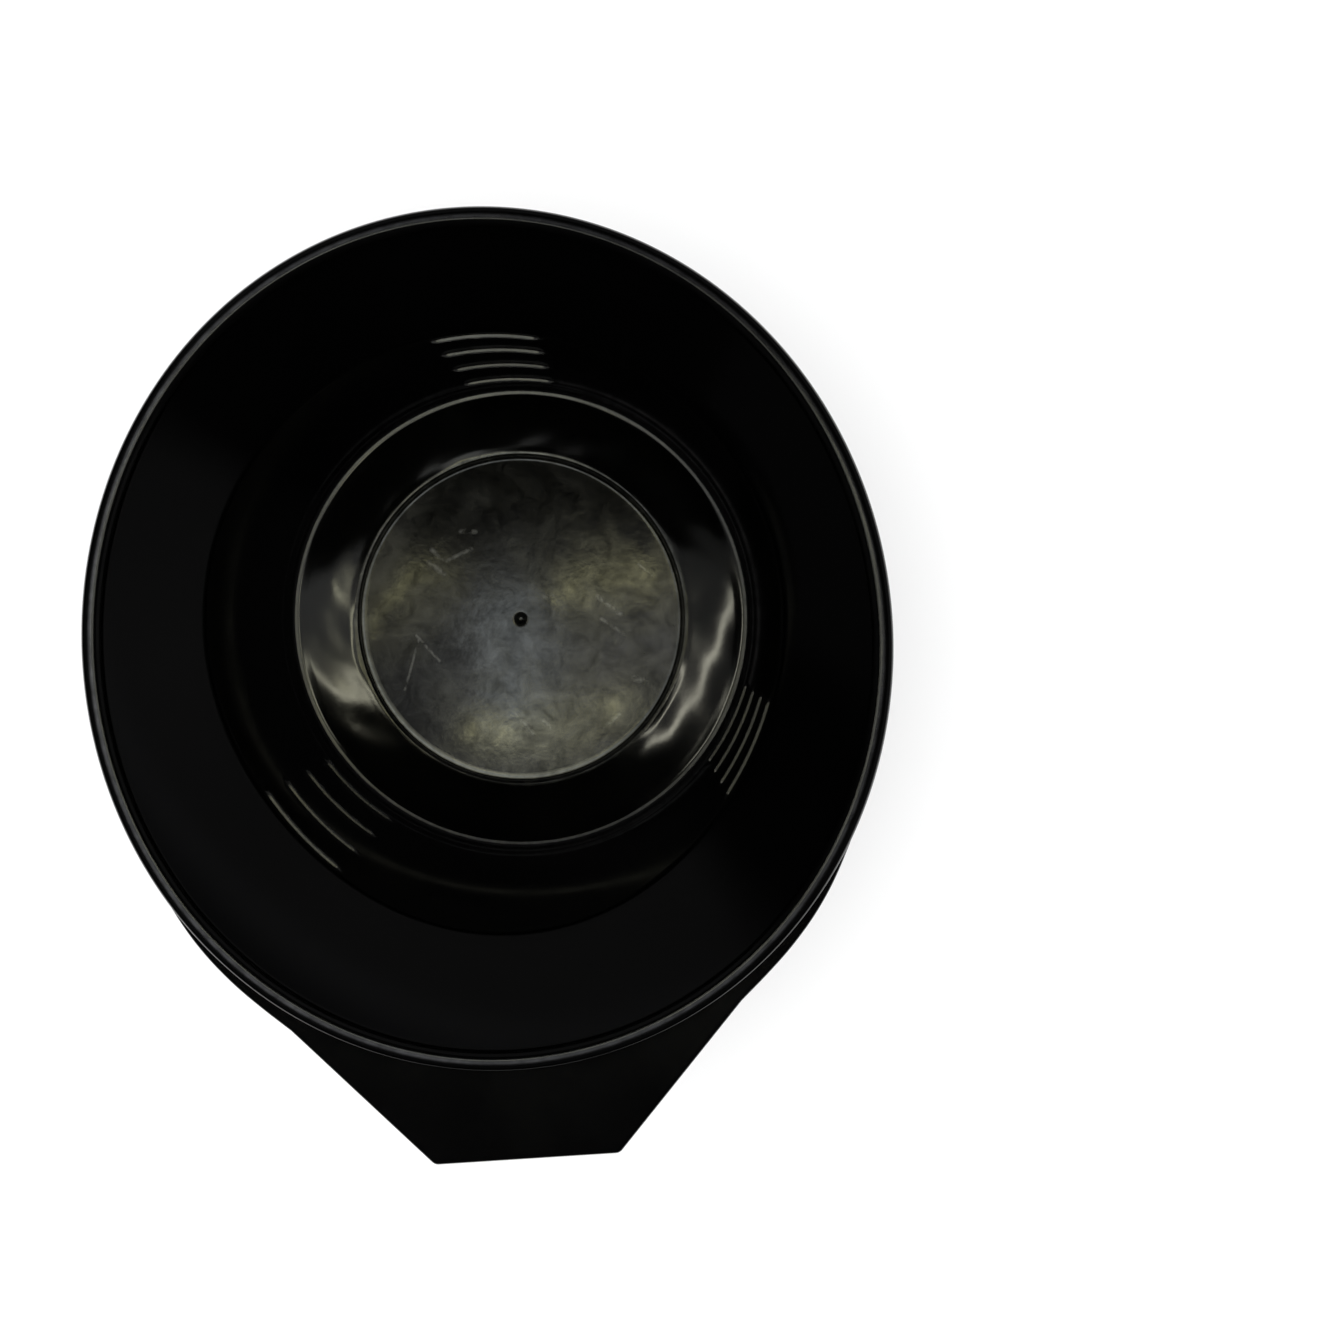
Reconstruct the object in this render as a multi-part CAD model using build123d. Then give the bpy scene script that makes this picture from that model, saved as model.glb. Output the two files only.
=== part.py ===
from build123d import *
import os
from math import cos, sin, pi, radians, sqrt, hypot

# Hair color bowl: a moulded mixing bowl with a flat grip tab on its rim and a
# rubber ring under its foot.
# Units are millimetres. The origin is the centre of the foot on the surface the
# bowl rests on, +Z is up and the grip tab points along -Y.

os.makedirs("parts", exist_ok=True)

# ------------------------------------------------------------------ overall size
HEIGHT = 58.0            # resting plane to the top of the rim bead
RIM_MEAN = 70.60         # mean outer radius of the rim bead, seen from above
RIM_TO_GRIP = 3.19       # shift of the rim outline toward the grip tab
RIM_OVAL = 2.14          # ovality of the rim outline, long axis through the tab
BEAD_W = 3.4             # width of the rounded rim bead
BEAD_H = 2.8             # height of the rounded rim bead

# ------------------------------------------------------------------ bowl wall
WALL_T = 1.7             # wall thickness, measured square to the wall
WELL_R_LOW = 45.85       # inner radius of the well at Z_LOW
WELL_DRAFT = 0.130       # growth of the inner radius per millimetre of height
Z_LOW = 8.0              # height at which WELL_R_LOW is given
Z_FLARE = 43.2           # where the steep well turns into the flared brim
Z_WALL_TOP = 56.3        # inner edge of the brim, at the rim bead
GRIP_SIDE_EASE = 4.0     # extra reach of the well toward the grip tab
FLARE_KNEE = 0.17        # share of the brim taken by the soft knee
FLARE_OPEN = 0.85        # how much the brim keeps opening toward the rim

# ------------------------------------------------------------------ floor and foot
FLOOR_Z = 4.6            # top of the round floor disc
FLOOR_T = 1.8            # thickness of the floor disc
DISC_R = 31.7            # radius of the flat floor disc
GROOVE_W = 0.7           # fine groove round the disc
GROOVE_D = 0.45
CHANNEL_IN_Z = 4.66      # coned channel, inner edge height
CHANNEL_OUT_Z = 6.1      # coned channel, outer edge height
CHANNEL_OUT_R = 43.7
FOOT_Z = 1.0             # plastic foot, above the resting plane
FOOT_IN_R = 31.0         # inner foot rib
FOOT_IN_T = 2.0
LEDGE_R = 45.30          # foot of the well wall, inside the small ledge
LEDGE_Z = 7.0
FOOT_OUT_T = 2.2
SEAT_Z = 3.4             # ceiling of the seat for the rubber ring
GATE_R = 0.9             # gate mark at the centre of the floor
GATE_DISH_R = 2.4

# ------------------------------------------------------------------ measuring ribs
RIB_Z = (11.7, 22.6, 33.1, 42.6)       # heights of the four measuring ribs
RIB_R = 0.75                            # radius of the half-round rib section
RIB_PROUD = 0.62                        # how far a rib stands off the wall
RIB_SPAN = 21.0                         # degrees of arc of each rib
RIB_CENTRES = (87.0, -137.5, -30.5)     # directions of the three groups

# ------------------------------------------------------------------ grip tab
TAB_TOP_Z = 56.2         # flat top of the tab
TAB_T = 2.0              # thickness of the flat plate
TAB_SKIRT_D = 4.6        # depth of the turned-down edge, below TAB_TOP_Z
TAB_SKIRT_T = 1.5        # thickness of the turned-down edge
TAB_END_HALF = 15.9      # half width of the free end
TAB_END_Y = -91.5        # free end
TAB_CORNER_R = 1.4       # plan radius of the two end corners

# ------------------------------------------------------------------ rubber ring
RING_GAP = 0.10          # gap each side of the rubber ring in its seat
RING_GROOVES = 3         # fine grip grooves turned in its underside
RING_GROOVE_W = 1.0
RING_GROOVE_D = 0.7

SECTION_POINTS = 36


def rim_r(th):
    # outer outline of the rim bead; th = 0 points at the grip tab (-Y)
    return RIM_MEAN + RIM_TO_GRIP * cos(th) + RIM_OVAL * cos(2 * th)


def brim_shape(t):
    # growth of the brim from the knee (t = 0) to the bead (t = 1), not scaled
    k = FLARE_KNEE
    u = min(max(t / k, 0.0), 1.0)
    ramp = k * (u ** 3 - 0.5 * u ** 4) + max(t - k, 0.0)
    return ramp + 0.5 * FLARE_OPEN * max(t, 0.0) ** 2 * (1 if t > 0 else 0)


def well_r(z):
    return WELL_R_LOW + WELL_DRAFT * (z - Z_LOW)


def inner_r(z, th):
    # inner radius of the wall
    ease = GRIP_SIDE_EASE * max(cos(th), 0.0) ** 4
    u = min(max((z - Z_LOW) / (Z_FLARE - Z_LOW), 0.0), 1.0)
    base = well_r(z) + ease * u ** 1.6
    if z <= Z_FLARE:
        return base
    end = rim_r(th) - BEAD_W + 0.1
    span = end - well_r(Z_WALL_TOP) - ease
    t = (z - Z_FLARE) / (Z_WALL_TOP - Z_FLARE)
    return base + span * brim_shape(t) / brim_shape(1.0)


def outer_r(z, th):
    # outer radius: the inner line moved WALL_T square to itself
    best = None
    lo, hi = z - 0.2, min(z + 2.6, Z_WALL_TOP + 3.0)
    n = 140
    prev = None
    for i in range(n + 1):
        zi = lo + (hi - lo) * i / n
        r = inner_r(zi, th)
        s = (inner_r(zi + 0.02, th) - inner_r(zi - 0.02, th)) / 0.04
        q = sqrt(1 + s * s)
        ro, zo = r + WALL_T / q, zi - WALL_T * s / q
        if prev is not None and prev[1] <= z <= zo:
            f = (z - prev[1]) / (zo - prev[1] + 1e-12)
            cand = prev[0] + f * (ro - prev[0])
            best = cand if best is None else max(best, cand)
        prev = (ro, zo)
    return best


def section(fn, z):
    pts = []
    for i in range(SECTION_POINTS):
        th = 2 * pi * i / SECTION_POINTS
        r = fn(z, th)
        pts.append(Vector(r * sin(th), -r * cos(th), z))
    return Wire([Edge.make_spline(pts, periodic=True)])


def outline_wire(inset, z):
    pts = []
    for i in range(72):
        th = 2 * pi * i / 72
        r = rim_r(th) - inset
        pts.append(Vector(r * sin(th), -r * cos(th), z))
    return Wire([Edge.make_spline(pts, periodic=True)])


# ------------------------------------------------------------------ wall
def even_levels(fn, z0, z1, n):
    # n heights, evenly spaced along the profile line
    zs = [z0 + (z1 - z0) * i / 2400 for i in range(2401)]
    run = [0.0]
    for lower, upper in zip(zs, zs[1:]):
        run.append(run[-1] + hypot(upper - lower, fn(upper, 0.9) - fn(lower, 0.9)))
    picked, j = [], 0
    for i in range(n):
        want = run[-1] * i / (n - 1)
        while j < len(run) - 1 and run[j] < want - 1e-9:
            j += 1
        picked.append(zs[j])
    picked[-1] = z1
    return picked


cavity = Solid.make_loft([section(inner_r, z) for z in even_levels(inner_r, LEDGE_Z, Z_WALL_TOP, 28)])
shell = Solid.make_loft([section(outer_r, z) for z in even_levels(outer_r, FOOT_Z, 55.6, 30)])

# ------------------------------------------------------------------ rim bead
bead_path = outline_wire(BEAD_W / 2, HEIGHT - BEAD_H / 2)
start = bead_path.position_at(0)
bead_plane = Plane(origin=start, x_dir=Vector(start.X, start.Y, 0).normalized(), z_dir=bead_path.tangent_at(0))
bead = sweep(bead_plane * Ellipse(BEAD_W / 2, BEAD_H / 2), path=bead_path)

# ------------------------------------------------------------------ grip tab
def tab_side(sign):
    # straight side of the tab, then the easy curve that runs into the rim
    th = radians(60)
    r = rim_r(th) - 0.05
    dr = -RIM_TO_GRIP * sin(th) - 2 * RIM_OVAL * sin(2 * th)
    tan = Vector((dr * sin(th) + r * cos(th)) * sign, -dr * cos(th) + r * sin(th), 0).normalized()
    pts = [(38.6, -66.8), (43.7, -62.2), (48.2, -57.7), (52.6, -52.3), (56.5, -46.0)]
    pts = [Vector(x * sign, y, 0) for x, y in pts] + [Vector(r * sin(th) * sign, -r * cos(th), 0)]
    first = Vector(22.7 * sign, 24.7, 0).normalized()
    return pts[0], Edge.make_spline(pts, tangents=[first, tan]), pts[-1]


right_start, right_curve, right_end = tab_side(1)
left_start, left_curve, left_end = tab_side(-1)
tab_edges = [
    Edge.make_line(Vector(-TAB_END_HALF, TAB_END_Y, 0), Vector(TAB_END_HALF, TAB_END_Y, 0)),
    Edge.make_line(Vector(TAB_END_HALF, TAB_END_Y, 0), right_start),
    right_curve,
    Edge.make_line(right_end, Vector(30, -20, 0)),
    Edge.make_line(Vector(30, -20, 0), Vector(-30, -20, 0)),
    Edge.make_line(Vector(-30, -20, 0), left_end),
    left_curve,
    Edge.make_line(left_start, Vector(-TAB_END_HALF, TAB_END_Y, 0)),
]
tab_face = Face(Wire(tab_edges))
tab = Solid.extrude(tab_face, Vector(0, 0, TAB_SKIRT_D)).translate(Vector(0, 0, TAB_TOP_Z - TAB_SKIRT_D))
corners = [e for e in tab.edges() if e.geom_type == GeomType.LINE and abs(e.tangent_at(0).Z) > 0.99 and e.center().Y < TAB_END_Y + 1]
tab = tab.fillet(TAB_CORNER_R, corners)
top_rim = [e for e in tab.edges() if abs(e.center().Z - TAB_TOP_Z) < 0.01 and e.bounding_box().min.Y < -45.5 and e.center().Y < -50]
tab = tab.fillet(0.6, top_rim)

# hollow under the plate, leaving a turned-down edge
hollow_pts = []
def inset_side(sign, d):
    return [Vector(x * sign, y, 0) for x, y in ((14.9, -90.0), (37.6, -65.4), (47.0, -56.2), (54.6, -45.6), (57.6, -39.5))]
hr, hl = inset_side(1, TAB_SKIRT_T), inset_side(-1, TAB_SKIRT_T)
hollow_face = Face(Wire([
    Edge.make_line(hl[0], hr[0]),
    Edge.make_line(hr[0], hr[1]),
    Edge.make_spline(hr[1:]),
    Edge.make_line(hr[-1], Vector(30, -22, 0)),
    Edge.make_line(Vector(30, -22, 0), Vector(-30, -22, 0)),
    Edge.make_line(Vector(-30, -22, 0), hl[-1]),
    Edge.make_spline(list(reversed(hl[1:]))),
    Edge.make_line(hl[1], hl[0]),
]))
hollow = Solid.extrude(hollow_face, Vector(0, 0, TAB_SKIRT_D - TAB_T)).translate(Vector(0, 0, TAB_TOP_Z - TAB_SKIRT_D))
tab = tab - hollow

# the turned-down edge gets shallower toward the rim and dies out under the bead
taper = Solid.extrude(
    Face(Wire.make_polygon([
        Vector(-80, -76, TAB_TOP_Z - TAB_SKIRT_D - 3),
        Vector(-80, -76, TAB_TOP_Z - TAB_SKIRT_D),
        Vector(-80, -36, TAB_TOP_Z - 0.6),
        Vector(-80, 0, TAB_TOP_Z - 0.6),
        Vector(-80, 0, TAB_TOP_Z - TAB_SKIRT_D - 3),
    ])),
    Vector(160, 0, 0),
)
tab = tab - taper

# ------------------------------------------------------------------ floor and foot
foot_out_r = outer_r(FOOT_Z, pi / 2)
seat_in_r = FOOT_IN_R + FOOT_IN_T
seat_out_r = foot_out_r - FOOT_OUT_T

with BuildSketch(Plane.XZ) as floor_sk:
    with BuildLine():
        Polyline((0, LEDGE_Z + 0.1), (LEDGE_R, LEDGE_Z + 0.1), (LEDGE_R, LEDGE_Z - 0.1))
        Spline((LEDGE_R, LEDGE_Z - 0.1), (LEDGE_R - 0.42, LEDGE_Z - 0.58), (CHANNEL_OUT_R, CHANNEL_OUT_Z),
               tangents=[(-0.15, -1), (-1, -0.15)])
        Spline((CHANNEL_OUT_R, CHANNEL_OUT_Z), (39.6, 5.52), (35.8, 5.04), (DISC_R + GROOVE_W, CHANNEL_IN_Z),
               tangents=[(-1, -0.15), (-1, -0.105)])
        Polyline(
            (DISC_R + GROOVE_W, CHANNEL_IN_Z),
            (DISC_R + GROOVE_W * 0.65, FLOOR_Z - GROOVE_D),
            (DISC_R + GROOVE_W * 0.25, FLOOR_Z - GROOVE_D),
            (DISC_R, FLOOR_Z),
            (GATE_DISH_R, FLOOR_Z),
            (GATE_R + 0.25, FLOOR_Z - 0.16),
            (GATE_R, FLOOR_Z - 0.65),
            (0, FLOOR_Z - 0.65),
            (0, LEDGE_Z + 0.1),
        )
    make_face()
floor_cut = revolve(floor_sk.sketch, Axis.Z, 360)

recess = Solid.make_cylinder(FOOT_IN_R, FLOOR_Z - FLOOR_T + 1).translate(Vector(0, 0, -1))
seat = Solid.make_cylinder(seat_out_r, SEAT_Z + 1) - Solid.make_cylinder(seat_in_r, SEAT_Z + 1)
seat = seat.translate(Vector(0, 0, -1))

# ------------------------------------------------------------------ measuring ribs
ribs = []
for centre in RIB_CENTRES:
    for z in RIB_Z:
        mid = radians(centre)
        th = mid + pi / 2                      # angle counted from -Y
        rc = inner_r(z, th) + RIB_R - RIB_PROUD
        a0 = mid - radians(RIB_SPAN / 2)
        a1 = mid + radians(RIB_SPAN / 2)
        arc = Edge.make_three_point_arc(
            Vector(rc * cos(a0), rc * sin(a0), z),
            Vector(rc * cos(mid), rc * sin(mid), z),
            Vector(rc * cos(a1), rc * sin(a1), z),
        )
        pl = Plane(origin=arc.position_at(0), x_dir=Vector(cos(a0), sin(a0), 0), z_dir=arc.tangent_at(0))
        rib = sweep(pl * Circle(RIB_R), path=Wire([arc])).solids()[0]
        ends = [e for e in rib.edges() if e.geom_type == GeomType.CIRCLE and abs(e.length - 2 * pi * RIB_R) < 0.05]
        ribs.append(rib.fillet(0.42, ends))

# ------------------------------------------------------------------ bowl body
body = shell - recess - seat
foot_edges = [
    e for e in body.edges()
    if e.geom_type == GeomType.CIRCLE and abs(e.center().Z - FOOT_Z) < 0.01 and e.length < 2 * pi * (foot_out_r - 0.5)
]
body = body.fillet(0.45, foot_edges)
with BuildSketch(Plane.XZ) as bevel_sk:
    with BuildLine():
        Polyline(
            (foot_out_r - 0.45, FOOT_Z - 0.2),
            (foot_out_r - 0.45, FOOT_Z),
            (foot_out_r + 0.55, FOOT_Z + 1.0),
            (foot_out_r + 0.55, FOOT_Z - 0.2),
            close=True,
        )
    make_face()
body = body - revolve(bevel_sk.sketch, Axis.Z, 360)
body = body.fuse(tab)
body = body - cavity
body = body - floor_cut
body = body.fuse(bead)
for r in ribs:
    body = body.fuse(r)
solids = body.solids()
print("bowl_body solids:", len(solids), [round(s.volume, 1) for s in solids])
body = max(solids, key=lambda s: s.volume)
body.label = "bowl_body"

# ------------------------------------------------------------------ rubber ring
ring_in = seat_in_r + RING_GAP
ring_out = seat_out_r - RING_GAP
ring = Solid.make_cylinder(ring_out, SEAT_Z) - Solid.make_cylinder(ring_in, SEAT_Z)
ring = ring.solids()[0] if hasattr(ring, "solids") else ring
lower = [e for e in ring.edges() if e.geom_type == GeomType.CIRCLE and abs(e.center().Z) < 0.01]
ring = ring.fillet(0.5, lower)
pitch = (ring_out - ring_in) / (RING_GROOVES + 1)
for i in range(RING_GROOVES):
    rm = ring_in + pitch * (i + 1)
    cut = Solid.make_cylinder(rm + RING_GROOVE_W / 2, RING_GROOVE_D) - Solid.make_cylinder(rm - RING_GROOVE_W / 2, RING_GROOVE_D)
    ring = ring - cut
ring = ring.solids()[0]
ring.label = "base_ring"

export_step(body, "parts/bowl_body.step")
export_step(ring, "parts/base_ring.step")

for name, s in (("bowl_body", body), ("base_ring", ring)):
    b = s.bounding_box()
    print(name, "valid" if s.is_valid else "INVALID", "faces", len(s.faces()), [round(v, 2) for v in (b.min.X, b.max.X, b.min.Y, b.max.Y, b.min.Z, b.max.Z)], "vol", round(s.volume, 1))
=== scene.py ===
import bpy
import math
import numpy as np
from math import cos, sin, pi, radians, sqrt
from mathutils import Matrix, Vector


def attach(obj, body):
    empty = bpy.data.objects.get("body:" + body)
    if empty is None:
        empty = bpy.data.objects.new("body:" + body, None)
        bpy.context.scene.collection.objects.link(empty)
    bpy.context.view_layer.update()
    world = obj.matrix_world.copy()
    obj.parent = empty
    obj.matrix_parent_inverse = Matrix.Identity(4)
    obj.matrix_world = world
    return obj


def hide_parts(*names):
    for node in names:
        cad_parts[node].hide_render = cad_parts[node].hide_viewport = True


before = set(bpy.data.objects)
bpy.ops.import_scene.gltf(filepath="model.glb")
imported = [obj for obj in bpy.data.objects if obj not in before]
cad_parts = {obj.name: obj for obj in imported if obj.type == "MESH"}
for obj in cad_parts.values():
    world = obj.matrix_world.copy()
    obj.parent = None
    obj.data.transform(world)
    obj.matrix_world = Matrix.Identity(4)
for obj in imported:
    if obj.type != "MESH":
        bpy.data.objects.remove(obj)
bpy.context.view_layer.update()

MM = 0.001
scene = bpy.context.scene

# ------------------------------------------------------------------ sizes, in mm, as in the CAD
HEIGHT = 58.0
RIM_MEAN, RIM_TO_GRIP, RIM_OVAL = 70.60, 3.19, 2.14
BEAD_W, BEAD_H = 3.4, 2.8
WALL_T = 1.7
WELL_R_LOW, WELL_DRAFT, Z_LOW = 45.85, 0.130, 8.0
Z_FLARE, Z_WALL_TOP = 43.2, 56.3
GRIP_SIDE_EASE = 4.0
FLARE_KNEE, FLARE_OPEN = 0.17, 0.85
FLOOR_Z, FLOOR_T = 4.6, 1.8
DISC_R, GROOVE_W, GROOVE_D = 31.7, 0.7, 0.45
CHANNEL_IN_Z, CHANNEL_OUT_Z, CHANNEL_OUT_R = 4.66, 6.1, 43.7
FOOT_Z, FOOT_IN_R, FOOT_IN_T, FOOT_OUT_T = 1.0, 31.0, 2.0, 2.2
SEAT_Z = 3.4
RIB_Z = (11.7, 22.6, 33.1, 42.6)
RIB_R, RIB_PROUD, RIB_SPAN = 0.75, 0.62, 21.0
RIB_CENTRES = (87.0, -137.5, -30.5)
TAB_TOP_Z, TAB_T, TAB_SKIRT_D, TAB_SKIRT_T = 56.2, 2.0, 4.6, 1.5

COLUMNS = 480
TH = np.arange(COLUMNS) * 2 * pi / COLUMNS          # th = 0 points along the tab, -Y


def rim_r(th):
    return RIM_MEAN + RIM_TO_GRIP * np.cos(th) + RIM_OVAL * np.cos(2 * th)


def brim_shape(t):
    k = FLARE_KNEE
    u = np.clip(t / k, 0.0, 1.0)
    ramp = k * (u ** 3 - 0.5 * u ** 4) + np.maximum(t - k, 0.0)
    return ramp + 0.5 * FLARE_OPEN * np.maximum(t, 0.0) ** 2


def inner_r(z, th):
    ease = GRIP_SIDE_EASE * np.maximum(np.cos(th), 0.0) ** 4
    u = np.clip((z - Z_LOW) / (Z_FLARE - Z_LOW), 0.0, 1.0)
    base = WELL_R_LOW + WELL_DRAFT * (z - Z_LOW) + ease * u ** 1.6
    end = rim_r(th) - BEAD_W + 0.1
    span = end - (WELL_R_LOW + WELL_DRAFT * (Z_WALL_TOP - Z_LOW)) - ease
    t = (z - Z_FLARE) / (Z_WALL_TOP - Z_FLARE)
    return base + span * brim_shape(t) / brim_shape(np.array(1.0))


def ring(r, z):
    # one ring of the grid: r and z may be numbers or one value per column
    r = np.broadcast_to(np.asarray(r, float), (COLUMNS,))
    z = np.broadcast_to(np.asarray(z, float), (COLUMNS,))
    return np.stack([r * np.sin(TH), -r * np.cos(TH), z], axis=1)


def smooth_line(points, n):
    # n points along a Catmull-Rom line through the given (r, z) points
    p = np.array(points, float)
    p = np.vstack([2 * p[0] - p[1], p, 2 * p[-1] - p[-2]])
    out = []
    seg = len(p) - 3
    for i in range(n):
        s = i / (n - 1) * seg
        k = min(int(s), seg - 1)
        t = s - k
        a, b, c, d = p[k], p[k + 1], p[k + 2], p[k + 3]
        out.append(0.5 * ((2 * b) + (c - a) * t + (2 * a - 5 * b + 4 * c - d) * t * t + (3 * b - a - 3 * c + d) * t ** 3))
    return out


# ------------------------------------------------------------------ bowl moulding, one closed skin
rings, zone = [], []          # zone names the material of the band above each ring
painted_highlight = {}                   # how strongly each ring gets the painted highlight, 0 to 1 for each column
TURN = np.degrees(TH) - 90.0  # 0 points along +X


def add(r, z, name):
    rings.append(ring(r, z))
    zone.append(name)


def floor_wave(r, th):
    # moulding sink and warp of the floor, a few hundredths of a millimetre
    x, y = r * np.sin(th), -r * np.cos(th)
    w = (0.0036 * np.sin(0.21 * x + 0.9) * np.cos(0.17 * y - 0.4)
         + 0.0016 * np.sin(0.43 * x - 0.29 * y + 1.7)
         + 0.0006 * np.sin(1.05 * x + 0.65 * y + 0.5 + 0.8 * np.sin(0.3 * y)))
    return w * np.clip((r - 2.6) / 5.0, 0, 1)


def channel_wave(r, th):
    # the channel round the floor is drawn and rippled
    k = np.clip((r - DISC_R - GROOVE_W) / 1.6, 0, 1) * np.clip((CHANNEL_OUT_R + 0.2 - r) / 1.6, 0, 1)
    w = (0.010 * np.sin(0.62 * (r - 32.0) + 1.8 * np.sin(2 * th + 0.7) + 0.5)
         + 0.016 * np.sin(4 * th + 1.2 + 0.10 * r) + 0.0105 * np.sin(9 * th - 0.4 - 0.2 * r)
         + 0.0036 * np.sin(21 * th + 0.8 * r))
    return w * k


# gate mark and floor disc
for r, z in ((0.28, -0.62), (0.62, -0.60), (0.80, -0.50), (0.90, -0.30), (1.02, -0.14), (1.12, -0.04), (1.25, -0.008), (1.4, 0.0), (1.8, 0.0), (2.2, 0.0), (2.7, 0.0)):
    add(r, FLOOR_Z + z, "floor")
for r in np.linspace(3.2, DISC_R - 0.75, 52):
    add(r, FLOOR_Z + floor_wave(r, TH), "floor")
edge_wave = floor_wave(DISC_R - 0.75, TH)
# painted highlight: a pale arc painted on the last ring of the floor disc, strongest toward -125 degrees from +X and
# gone on the far side
painted_highlight[len(rings) - 1] = 0.8 * np.clip(1 - (((TURN + 125.0 + 180) % 360 - 180) / 80.0) ** 2, 0, 1)
# fine lip, groove and land round the disc
for dr, dz in ((-0.60, 0.002), (-0.42, 0.010), (-0.25, 0.020), (-0.12, 0.018), (-0.03, -0.02), (0.04, -0.12), (0.10, -0.28), (0.17, -0.40), (0.28, -0.45), (0.42, -0.44), (0.50, -0.30),
               (0.56, -0.10), (0.62, 0.010), (0.68, 0.045), (0.76, 0.056), (0.88, 0.064), (1.00, 0.072), (1.12, 0.080)):
    # painted highlight: the fine lip round the disc is painted pale along the same arc
    lip = max(0.0, 1.0 - abs(dr + 0.33) / 0.45) if dr < 0 else 0.0
    painted_highlight[len(rings)] = min(1.0, 1.6 * lip) * np.clip(1 - (((TURN + 125.0 + 180) % 360 - 180) / 88.0) ** 2, 0, 1)
    add(DISC_R + dr, FLOOR_Z + dz + edge_wave * max(0.0, min(1.0, 0.6 - dr)), "floor")
# coned channel, a little steeper toward the wall
r0, z0 = DISC_R + 1.12, FLOOR_Z + 0.080
tan_in, tan_out = math.tan(radians(6.0)), math.tan(radians(8.4))
for i in range(1, 41):
    f = i / 40
    r = r0 + (CHANNEL_OUT_R - r0) * f
    z = z0 + (r - r0) * tan_in + 0.5 * (r - r0) ** 2 * (tan_out - tan_in) / (CHANNEL_OUT_R - r0)
    add(r, z + channel_wave(r, TH), "channel")
z_end = z
# fillet up to the well wall
# a narrow flat land first, then the fillet
edge_rings = []
for r, z in ((43.95, z_end + 0.028), (44.10, z_end + 0.041), (44.25, z_end + 0.054), (44.40, z_end + 0.068), (44.55, z_end + 0.083), (44.68, z_end + 0.105), (44.82, z_end + 0.16), (44.98, z_end + 0.27),
             (45.14, z_end + 0.45), (45.30, z_end + 0.72), (45.44, z_end + 1.05), (45.58, z_end + 1.5), (45.72, z_end + 2.0)):
    edge_rings.append((len(rings), r))
    add(r, z, "edge")
# well wall and brim, with the measuring ribs drawn into the skin
RIB_LINE = ((0.60, 0.0), (0.48, 0.0), (0.442, 0.006), (0.436, 0.05), (0.422, 0.19), (0.408, 0.33), (0.394, 0.47), (0.383, 0.56), (0.35, 0.62), (0.28, 0.645), (0.14, 0.65), (0.0, 0.64),
            (-0.15, 0.60), (-0.30, 0.55), (-0.42, 0.485), (-0.52, 0.40), (-0.60, 0.30), (-0.68, 0.185), (-0.74, 0.09), (-0.80, 0.02), (-0.92, 0.0))
RIB_D = np.array([p[0] for p in RIB_LINE][::-1])
RIB_H = np.array([p[1] for p in RIB_LINE][::-1])
levels = set(round(float(v), 3) for v in np.concatenate([np.arange(8.6, 42.0, 1.1), np.arange(42.0, 47.5, 0.3), np.arange(47.5, Z_WALL_TOP - 0.2, 0.45), [Z_WALL_TOP - 0.03]]))
levels = [v for v in levels if all(abs(v - rz) > 1.15 for rz in RIB_Z)]
for rz in RIB_Z:
    levels += [rz + d for d in RIB_D]
wall_z = sorted(levels)


def rib_height(z, th):
    out = np.zeros_like(th)
    az = np.degrees(th) - 90.0
    for centre in RIB_CENTRES:
        off = (az - centre + 180.0) % 360.0 - 180.0
        side = RIB_SPAN / 2 + 0.35 - np.abs(off)
        end = np.clip(side / 1.6, 0, 1)
        end = np.sqrt(np.clip(1 - (1 - end) ** 2, 0, 1))
        for i, rz in enumerate(RIB_Z):
            d = z - rz
            if -0.92 <= d <= 0.60:
                out = np.maximum(out, float(np.interp(d, RIB_D, RIB_H)) * end)
    return out


# painted highlight: a thin pale line painted all round the narrow land at the foot of the fillet
for j, r in edge_rings:
    painted_highlight[j] = np.full(COLUMNS, math.exp(-((r - 44.28) / 0.26) ** 2))
for z in wall_z:
    h = rib_height(z, TH)
    # painted highlight along the measuring ribs: full on the group at 87 degrees, half on the group at -137.5, about an
    # eighth on the group at -30.5
    mark_strength = np.where(np.abs((TURN + 30.5 + 180) % 360 - 180) < 40, 0.13, np.where(np.abs((TURN + 137.5 + 180) % 360 - 180) < 40, 0.50, 1.0))
    painted_highlight[len(rings)] = np.clip(h / 0.25, 0, 1) * mark_strength
    add(inner_r(z, TH) - h, z, "wall")
# rim bead, from its inner foot over the top to its underside
R = rim_r(TH)
cz = HEIGHT - BEAD_H / 2
for deg in list(range(186, 126, -6)) + list(range(126, 54, -4)) + list(range(54, -90, -6)):
    a = radians(deg)
    e = 2 / 2.6 if sin(a) > 0 else 1.0
    cx = math.copysign(abs(cos(a)) ** e, cos(a))
    sx = math.copysign(abs(sin(a)) ** e, sin(a))
    if sin(a) > 0:
        # painted highlight: a pale line painted along the crest of the bead, strongest toward -150 degrees from +X and
        # faint on the far side
        painted_highlight[len(rings)] = math.exp(-((BEAD_W / 2 * cx + 0.10) / 0.30) ** 2) * (0.18 + 0.82 * (0.5 + 0.5 * np.cos(np.radians(TURN + 150.0))))
    add(R - BEAD_W / 2 + BEAD_W / 2 * cx, cz + BEAD_H / 2 * sx, "bead")
# fillet under the bead, then the outside of the wall
add(R - BEAD_W / 2 - 0.25, cz - BEAD_H / 2 - 0.02, "outside")


def outer_point(z, th):
    s = (inner_r(z + 0.02, th) - inner_r(z - 0.02, th)) / 0.04
    q = np.sqrt(1 + s * s)
    return inner_r(z, th) + WALL_T / q, z - WALL_T * s / q


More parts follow.
